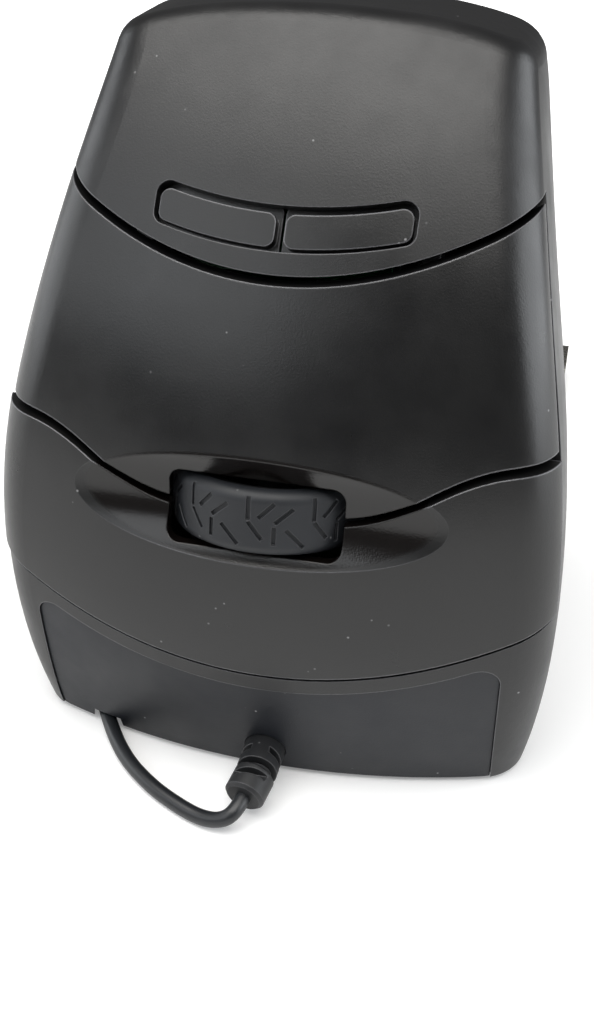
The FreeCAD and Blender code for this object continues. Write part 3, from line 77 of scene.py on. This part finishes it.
def moulded(name, dark, pale, rough, grit_mm, grit_deep_mm=0.01, dust=0.0, edge_mm=0.15, rub_and_highlight=0.25):
    """Moulded plastic: clouded colour, specks of dust, uneven gloss, grit, and soft edges that are smoother
    and carry a painted highlight.
    """
    material, tree = new_material(name)
    place = add(tree, "ShaderNodeTexCoord").outputs["Object"]
    # The colour varies a little, in broad clouds.
    cloud_mm, cloud_stops = 18.0, (0.35, 0.7)
    cloud = add(tree, "ShaderNodeTexNoise", {"Scale": per_metre(cloud_mm), "Detail": 3.0}, {"Vector": place})
    shade = add(tree, "ShaderNodeValToRGB", links={"Fac": cloud.outputs["Fac"]})
    for stop, code, spot in zip(shade.color_ramp.elements, (dark, pale), cloud_stops):
        stop.color = colour(code)
        stop.position = spot
    # Dust is a dot in a cell, where a broader noise lets it gather. The dots are up to 0.4 mm
    # across, larger than real dust, so that they show.
    cell_mm, gather_mm, dust_grey = 2.6, 6.0, colour("#8f8f90")
    dot_rim, dot_core = 0.07, 0.035
    gather_from, gather_to = 0.55, 0.6
    cell = add(tree, "ShaderNodeTexVoronoi", {"Scale": per_metre(cell_mm)}, {"Vector": place})
    gather = add(tree, "ShaderNodeTexNoise", {"Scale": per_metre(gather_mm), "Detail": 1.0},
                 {"Vector": place})
    dot = add(tree, "ShaderNodeMapRange", {"From Min": dot_rim, "From Max": dot_core},
              {"Value": cell.outputs["Distance"]})
    some = add(tree, "ShaderNodeMapRange", {"From Min": gather_from, "From Max": gather_to},
               {"Value": gather.outputs["Fac"]})
    both = add(tree, "ShaderNodeMath", {"operation": "MULTIPLY"}, {0: dot.outputs[0], 1: some.outputs[0]})
    amount = add(tree, "ShaderNodeMath", {"operation": "MULTIPLY", 1: dust}, {0: both.outputs[0]})
    dusty = add(tree, "ShaderNodeMix", {"data_type": "RGBA", 7: dust_grey},
                {"Factor": amount.outputs[0], 6: shade.outputs["Color"]})
    # Handling leaves the gloss uneven.
    handled_mm, handled_low, handled_high = 9.0, 0.3, 0.7
    handled = add(tree, "ShaderNodeTexNoise",
                  {"Scale": per_metre(handled_mm), "Detail": 5.0, "Roughness": 0.6}, {"Vector": place})
    gloss = add(tree, "ShaderNodeMapRange", {"From Min": handled_low, "From Max": handled_high,
                                             "To Min": rough[0], "To Max": rough[1]},
                {"Value": handled.outputs["Fac"]})
    # The bevelled normal leaves the face's own only at an edge. There the skin is made smoother, and is
    # painted a paler grey as a painted highlight.
    edge_highlight_grey, rubbed_rough = colour("#8c8c90"), 0.16
    bend_from, bend_to = 0.995, 0.88
    soft_edge = add(tree, "ShaderNodeBevel", {"samples": 6, "Radius": edge_mm / 1000})
    flat = add(tree, "ShaderNodeNewGeometry").outputs["Normal"]
    bend = add(tree, "ShaderNodeVectorMath", {"operation": "DOT_PRODUCT"}, {0: soft_edge.outputs[0], 1: flat})
    edge = add(tree, "ShaderNodeMapRange", {"From Min": bend_from, "From Max": bend_to, "To Max": rub_and_highlight},
               {"Value": bend.outputs["Value"]})
    # Painted highlight: at the edges the colour is mixed towards a pale grey.
    edge_highlighted = add(tree, "ShaderNodeMix", {"data_type": "RGBA", 7: edge_highlight_grey},
                 {"Factor": edge.outputs[0], 6: dusty.outputs[2]})
    polish = add(tree, "ShaderNodeMix", {"data_type": "FLOAT", "B": rubbed_rough},
                 {"Factor": edge.outputs[0], "A": gloss.outputs[0]})
    # Every grit is drawn coarser than the tool's real texture, so that it shows.
    grit_strength, plastic_ior = 0.5, 1.53
    grit = add(tree, "ShaderNodeTexNoise", {"Scale": per_metre(grit_mm), "Detail": 2.0}, {"Vector": place})
    bump = add(tree, "ShaderNodeBump", {"Strength": grit_strength, "Distance": grit_deep_mm / 1000},
               {"Height": grit.outputs["Fac"], "Normal": soft_edge.outputs[0]})
    skin = add(tree, "ShaderNodeBsdfPrincipled", {"IOR": plastic_ior},
               {"Base Color": edge_highlighted.outputs[2], "Roughness": polish.outputs[0], "Normal": bump.outputs[0]})
    add(tree, "ShaderNodeOutputMaterial", links={"Surface": skin.outputs[0]})
    return material


def dress(material, *names):
    """Gives CAD nodes their material."""
    for name in names:
        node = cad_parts[name]
        node.data.materials.clear()
        node.data.materials.append(material)


# Spark-textured ABS: a dull black with a soft sheen, and a painted highlight along its edges.
satin_abs = moulded("satin_abs_moulded", "#0f0f10", "#151516", (0.31, 0.43), grit_mm=0.22,
                    grit_deep_mm=0.03, dust=0.8, edge_mm=0.22, rub_and_highlight=0.55)
dress(satin_abs, "housing_shell", "housing_base")

# Front keys
# Two broad ABS levers that wrap the front and close over the wheel. Each is moulded with its
# hinge plates and its click post, and snaps onto the housing's eyes. Two small keys slide in
# the brow and swap the hands.

# The same ABS from a finer tool, and smoothed by fingers: blacker and glossier, with a brighter painted
# highlight along its edges.
key_abs = moulded("key_abs_moulded", "#0d0d0e", "#131313", (0.27, 0.37), grit_mm=0.22,
                  grit_deep_mm=0.025, dust=0.7, edge_mm=0.28, rub_and_highlight=0.8)


def polish_and_shade_dish(material, middle, half_wide, half_high, code, roughness):
    """Gives the oval dish round the wheel its own smoother skin, and a darker, warmer colour as painted
    shade.
    """
    tree = material.node_tree
    skin = next(node for node in tree.nodes if node.type == "BSDF_PRINCIPLED")
    place = add(tree, "ShaderNodeTexCoord").outputs["Object"]
    # Seen from the front, the distance from the dish's middle is 1 on the oval's rim.
    rim_outside, rim_inside = 1.02, 0.97
    oval = add(tree, "ShaderNodeMapping", {"Scale": (1 / half_wide, 0.0, 1 / half_high),
                                           "Location": (0.0, 0.0, -middle / half_high)}, {"Vector": place})
    far = add(tree, "ShaderNodeVectorMath", {"operation": "LENGTH"}, {0: oval.outputs[0]})
    inside = add(tree, "ShaderNodeMapRange", {"From Min": rim_outside, "From Max": rim_inside},
                 {"Value": far.outputs["Value"]})
    key_rough = skin.inputs["Roughness"].links[0].from_socket
    key_colour = skin.inputs["Base Color"].links[0].from_socket
    smooth = add(tree, "ShaderNodeMix", {"data_type": "FLOAT", "B": roughness},
                 {"Factor": inside.outputs[0], "A": key_rough})
    # Painted shade: inside the oval, the colour turns a darker, warmer black.
    dish_painted_shade = add(tree, "ShaderNodeMix", {"data_type": "RGBA", 7: colour(code)},
                     {"Factor": inside.outputs[0], 6: key_colour})
    tree.links.new(smooth.outputs[0], skin.inputs["Roughness"])
    tree.links.new(dish_painted_shade.outputs[2], skin.inputs["Base Color"])


# The keys' tools are polished in the dish, so that it mirrors the room, and the dish gets a darker, warmer
# colour as painted shade in its hollow. Its middle's height and its half axes are in metres.
dish_middle, dish_half_wide, dish_half_high = 0.0411, 0.0206, 0.0063
polish_and_shade_dish(key_abs, dish_middle, dish_half_wide, dish_half_high, code="#0c0908", roughness=0.17)
dress(key_abs, "upper_key", "lower_key", "left_hand_key", "right_hand_key")

# Front inlay
# A thin matt panel let into the base's front. It is moulded by itself, in a softer plastic
# than the housing.

# Moulded soft plastic, left matt: a bluer black that keeps its dust and shows hardly any sheen.
matt_insert = moulded("matt_insert_moulded", "#0a0e15", "#10141c", (0.44, 0.58), grit_mm=0.25,
                      grit_deep_mm=0.03, dust=1.0, edge_mm=0.2, rub_and_highlight=0.12)
dress(matt_insert, "front_inlay")

# Wheel
# A silicone tyre with a zigzag tread is stretched over a moulded hub, which turns on a steel
# axle held by a white acetal fork. The fork also carries the encoder that reads the turning.

# Moulded silicone: a bluish charcoal without gloss.
tyre_silicone = moulded("tyre_silicone", "#12151a", "#181b20", (0.48, 0.62), grit_mm=0.25,
                        grit_deep_mm=0.02, dust=0.5, edge_mm=0.2, rub_and_highlight=0.12)
dress(tyre_silicone, "wheel_tyre")

# Moulded nylon: a plain, slightly rough black, as it leaves the tool.
inner_nylon = moulded("inner_black_nylon", "#141415", "#1c1c1d", (0.4, 0.5), grit_mm=0.3)
dress(inner_nylon, "wheel_hub", "scroll_encoder")

# Moulded acetal: an off-white that looks waxy.
white_acetal = moulded("white_acetal", "#c9c7bf", "#d6d4cc", (0.3, 0.4), grit_mm=0.3)
dress(white_acetal, "wheel_carrier")


def metal(name, code, rough, scratch_mm):
    """Plated metal with an uneven gloss and fine marks, drawn coarser than real ones to show."""
    scratch_deep_mm, scratch_strength = 0.005, 0.2
    material, tree = new_material(name)
    place = add(tree, "ShaderNodeTexCoord").outputs["Object"]
    scratch = add(tree, "ShaderNodeTexNoise", {"Scale": per_metre(scratch_mm), "Detail": 4.0},
                  {"Vector": place})
    gloss = add(tree, "ShaderNodeMapRange", {"To Min": rough[0], "To Max": rough[1]},
                {"Value": scratch.outputs["Fac"]})
    bump = add(tree, "ShaderNodeBump", {"Strength": scratch_strength, "Distance": scratch_deep_mm / 1000},
               {"Height": scratch.outputs["Fac"]})
    skin = add(tree, "ShaderNodeBsdfPrincipled", {"Base Color": colour(code), "Metallic": 1.0},
               {"Roughness": gloss.outputs[0], "Normal": bump.outputs[0]})
    add(tree, "ShaderNodeOutputMaterial", links={"Surface": skin.outputs[0]})
    return material


# Zinc-plated steel: a cold, slightly dull grey.
zinc_plate = metal("zinc_plate", "#a8a9ab", (0.3, 0.45), scratch_mm=0.3)
dress(zinc_plate, "wheel_axle")

# Boards, switches and sensor
# Glass-fibre boards in the housing carry the switches, the sensor and its controller. Screws
# hold them and the moulded bracket that guides the wheel's fork, and ribbons join them.
dress(inner_nylon, "bracket", "upper_click_switch", "lower_click_switch", "wheel_click_switch",
      "hand_switches", "motion_sensor", "controller_chip")
dress(white_acetal, "upper_click_plunger", "lower_click_plunger", "wheel_click_plunger",
      "left_hand_plunger", "right_hand_plunger", "cable_header")
dress(zinc_plate, "board_screws", "bracket_screws", "upright_board_screws", "hand_board_screws")

# Solder mask, a lacquer printed on the boards: a deep green with a fair gloss.
solder_mask = moulded("solder_mask", "#0f4a25", "#146030", (0.25, 0.35), grit_mm=0.5)
dress(solder_mask, "button_board", "hand_board", "main_board")

# Extruded vinyl of the flat cables: a pale grey with little gloss.
flat_cable_vinyl = moulded("flat_cable_vinyl", "#9b9b98", "#a8a8a5", (0.4, 0.5), grit_mm=0.4)
dress(flat_cable_vinyl, "link_ribbon", "hand_ribbon")

# Moulded acrylic of the lens: very smooth, and clear in life. It is drawn as an opaque pale grey.
clear_acrylic = moulded("clear_acrylic", "#c8d0d4", "#d2dade", (0.1, 0.15), grit_mm=0.5)
dress(clear_acrylic, "sensor_lens")

# Cast epoxy of the lamp that lights the table: a deep red with a high gloss.
red_epoxy = moulded("red_epoxy", "#7a1410", "#8c1a14", (0.15, 0.2), grit_mm=0.5)
dress(red_epoxy, "sensor_led")

# Glide feet and housing screws
# Four thin pads of low-friction polymer sit in shallow pockets under the base, and four
# zinc-plated screws close the housing from below.

# Slippery polymer, cut from sheet: a dark grey, polished by the table.
slip_polymer = moulded("slip_polymer", "#3a3b3d", "#444547", (0.25, 0.35), grit_mm=0.4, dust=0.6)
dress(slip_polymer, "glide_feet")
dress(zinc_plate, "housing_screws")

# Strain relief, cord and plug
# A soft vinyl boot with slotted drums grips the cord where it leaves the base. The cord is
# 1.27 m of 2 mm vinyl jacket, and what the user does not need is wound up and tied behind.

# Moulded soft vinyl: a flat black with blurred highlights.
soft_vinyl = moulded("soft_vinyl", "#161719", "#1d1e20", (0.42, 0.55), grit_mm=0.3,
                     grit_deep_mm=0.02, dust=0.5, edge_mm=0.2)
dress(soft_vinyl, "strain_relief", "plug_body", "cable_ties")
dress(white_acetal, "plug_tongue")

# Nickel plate on the plug's folded steel: a warm, bright grey.
nickel_plate = metal("nickel_plate", "#b9b6ae", (0.2, 0.35), scratch_mm=0.3)
dress(nickel_plate, "plug_shell")

# Gold flash on the plug's contacts: a pale yellow.
gold_flash = metal("gold_flash", "#d6b36a", (0.2, 0.3), scratch_mm=0.3)
dress(gold_flash, "plug_contacts")


def metres(points):
    """Points in millimetres as vectors in metres."""
    return [Vector((x, y, z)) * 0.001 for x, y, z in points]


def cord_curve(name, points, radius):
    """A cord's smooth line with its round section."""
    data = bpy.data.curves.new(name, "CURVE")
    data.dimensions = "3D"
    data.bevel_depth = radius
    data.bevel_resolution = 5
    data.resolution_u = 8
    data.use_fill_caps = True
    spline = data.splines.new("NURBS")
    spline.points.add(len(points) - 1)
    for spot, point in zip(spline.points, points):
        spot.co = (*point, 1.0)
    spline.order_u = 3
    spline.use_endpoint_u = True
    piece = bpy.data.objects.new(name, data)
    bpy.context.collection.objects.link(piece)
    return piece


# The run goes from the boot round the base's left corner, back along the left side and up to
# the coil. Radius in metres; the routes and the coil are in millimetres.
cord_radius = 0.001
boot_end = (0.35, -44.7, 3.4)
coil_middle = (-10.0, 63.0)
coil_radius = 12.0
coil_pitch = 3.0
layer_pitch = 2.6
layer_halves = (7, 7, 7, 6)
coil_z = 1.62
coil_outer = coil_radius + coil_pitch * layer_halves[0] / 4
run_route = [boot_end, (-0.04, -46.91, 2.92), (-1.7, -47.6, 1.8), (-4.5, -47.0, 1.0), (-8.0, -45.6, 1.0),
             (-12.4, -43.2, 1.0), (-17.5, -39.0, 1.0), (-22.0, -32.8, 1.0), (-27.5, -23.3, 1.0),
             (-32.7, -10.3, 1.0), (-36.3, 5.3, 1.0), (-36.6, 23.3, 1.0), (-32.9, 40.9, 1.0),
             (-27.25, 53.5, coil_z), (-27.25, 61.0, coil_z)]


def half_turn(out_a, out_b, z_a, z_b, side):
    """Control points of half a turn of the coil, from one side to the other."""
    count = 6
    spots = []
    for i in range(count):
        t = (i + 0.5) / count
        # The points stand a little outside the turn, because the curve cuts inside them.
        out = (out_a + (out_b - out_a) * t) / math.cos(math.pi / (2 * count))
        spots.append((coil_middle[0] + side * out * math.cos(math.pi * t),
                      coil_middle[1] - side * out * math.sin(math.pi * t), z_a + (z_b - z_a) * t))
    return spots


# Each layer spirals in or out by half turns, and one more half turn climbs to the next.
coil_route, side, out, level = [], -1, coil_outer, coil_z
for layer, halves in enumerate(layer_halves):
    step = -coil_pitch / 2 if layer % 2 == 0 else coil_pitch / 2
    for _ in range(halves):
        coil_route += half_turn(out, out + step, level, level, side)
        out += step
        side = -side
    if layer + 1 < len(layer_halves):
        coil_route += half_turn(out, out, level, level + layer_pitch, side)
        level += layer_pitch
        side = -side
coil_exit = coil_middle[0] + side * out
tail_route = [(coil_exit, 65.0, level), (coil_exit, 73.0, level), (coil_exit + 1.5, 83.5, 6.2),
              (-16.5, 89.0, 4.25), (-8.0, 89.0, 4.25)]
cord = cord_curve("cord", metres(run_route + coil_route + tail_route), cord_radius)

# Extruded vinyl jacket over the cores: an even satin black that shows the light as a thin line.
jacket = moulded("cord_vinyl_jacket", "#1a1c1f", "#222427", (0.33, 0.42), grit_mm=0.4, dust=0.6)
cord.data.materials.append(jacket)
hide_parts("cable_run", "cable_coil", "cable_tail")
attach(cord, "housing")

# Inside the base the jacket goes on from the boot to the main board's header.
core_route = [(1.0, -32.62, 4.6), (1.0, -27.1, 4.6), (2.6, -22.0, 6.0), (4.6, -15.0, 10.4),
              (5.0, -10.5, 12.2), (5.0, -5.32, 12.2)]
core = cord_curve("cord_core", metres(core_route), cord_radius)
core.data.materials.append(jacket)
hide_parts("inner_cable")
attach(core, "housing")

# Studio
# A wide sheet of white paper lies under the mouse. A warm soft lamp hangs overhead, a cooler
# window stands in front to the left, and a low soft wall of light on each side.
sheet_half = 3.0
sheet_corners = [(-sheet_half, -sheet_half, 0), (sheet_half, -sheet_half, 0), (sheet_half, sheet_half, 0),
                 (-sheet_half, sheet_half, 0)]
floor_mesh = bpy.data.meshes.new("floor")
floor_mesh.from_pydata(sheet_corners, [], [(0, 1, 2, 3)])
floor = bpy.data.objects.new("floor", floor_mesh)
bpy.context.collection.objects.link(floor)

# White paper: matt, with a faint mottle 150 mm across. Its noise counts in sheet widths.
mottle, paper_dark, paper_light = 0.15, 0.86, 0.88
paper, tree = new_material("white_paper")
grain = add(tree, "ShaderNodeTexNoise", {"Scale": 2 * sheet_half / mottle, "Detail": 3.0})
white = add(tree, "ShaderNodeMapRange", {"To Min": paper_dark, "To Max": paper_light},
            {"Value": grain.outputs["Fac"]})
matt = add(tree, "ShaderNodeBsdfDiffuse", links={"Color": white.outputs[0]})
# The camera sees the paper lifted to white with the distance from the mouse, in metres, so that
# the shadow under the mouse stays.
near_mouse, off_mouse, lift_near, lift_off = 0.08, 0.5, 0.2, 1.0
path = add(tree, "ShaderNodeLightPath")
shown = add(tree, "ShaderNodeMath", {"operation": "MAXIMUM"},
            {0: path.outputs["Is Camera Ray"], 1: path.outputs["Is Transmission Ray"]})
middle = add(tree, "ShaderNodeTexCoord").outputs["Object"]
spread = add(tree, "ShaderNodeVectorMath", {"operation": "LENGTH"}, {0: middle})
far = add(tree, "ShaderNodeMapRange", {"From Min": near_mouse, "From Max": off_mouse, "To Min": lift_near,
                                       "To Max": lift_off}, {"Value": spread.outputs["Value"]})
lift = add(tree, "ShaderNodeMath", {"operation": "MULTIPLY"}, {0: shown.outputs[0], 1: far.outputs[0]})
glow = add(tree, "ShaderNodeEmission", {"Color": (1, 1, 1, 1)}, {"Strength": lift.outputs[0]})
total = add(tree, "ShaderNodeAddShader", links={0: matt.outputs[0], 1: glow.outputs[0]})
add(tree, "ShaderNodeOutputMaterial", links={"Surface": total.outputs[0]})
floor_mesh.materials.append(paper)

# The room is white to the camera, and dim where it lights the mouse.
room_dim, room_white = 0.12, 1.0
world = bpy.data.worlds.new("studio")
world.use_nodes = True
bpy.context.scene.world = world
tree = world.node_tree
path = add(tree, "ShaderNodeLightPath")
room = add(tree, "ShaderNodeMapRange", {"To Min": room_dim, "To Max": room_white},
           {"Value": path.outputs["Is Camera Ray"]})
tree.links.new(room.outputs[0], tree.nodes["Background"].inputs["Strength"])
tree.nodes["Background"].inputs["Color"].default_value = (1, 1, 1, 1)


def soft_lamp(name, at, to, wide, tall, watts, tint):
    """Rectangular lamp that looks at a point."""
    data = bpy.data.lights.new(name, "AREA")
    data.shape = "RECTANGLE"
    data.size = wide
    data.size_y = tall
    data.energy = watts
    data.color = tint
    lamp = bpy.data.objects.new(name, data)
    lamp.location = at
    lamp.rotation_euler = (Vector(to) - Vector(at)).to_track_quat("-Z", "Y").to_euler()
    bpy.context.collection.objects.link(lamp)


warm, cool = (1.0, 0.985, 0.96), (0.94, 0.97, 1.0)
soft_lamp("ceiling", at=(-0.06, -0.2, 0.95), to=(0, 0, 0.03), wide=1.3, tall=0.6, watts=11.5, tint=warm)
soft_lamp("window", at=(-0.52, -0.74, 0.66), to=(0, 0, 0.04), wide=0.85, tall=0.6, watts=3.2, tint=cool)
soft_lamp("left_wall", at=(-0.6, 0.0, 0.2), to=(0, 0, 0.05), wide=0.6, tall=0.34, watts=1.4, tint=cool)
soft_lamp("right_wall", at=(0.57, 0.1, 0.24), to=(0, 0, 0.09), wide=0.6, tall=0.44, watts=3.0, tint=cool)

# Camera
# It stands at the photograph's angle, above the front and a little to the right. Its place,
# turn and lens were fitted to the mouse's outline and seams.
lens = bpy.data.cameras.new("camera")
lens.lens = 44.62
lens.sensor_width = 36.0
lens.clip_start = 0.01
camera = bpy.data.objects.new("camera", lens)
across = Vector((0.97083, 0.23954, 0.01065))
upward = Vector((-0.13558, 0.51177, 0.84836))
back = Vector((0.19776, -0.82505, 0.52932))
camera.matrix_world = Matrix((across, upward, back)).transposed().to_4x4()
camera.location = (0.03300, -0.15422, 0.11624)
bpy.context.collection.objects.link(camera)
bpy.context.scene.camera = camera
bpy.context.scene.view_settings.view_transform = "Standard"
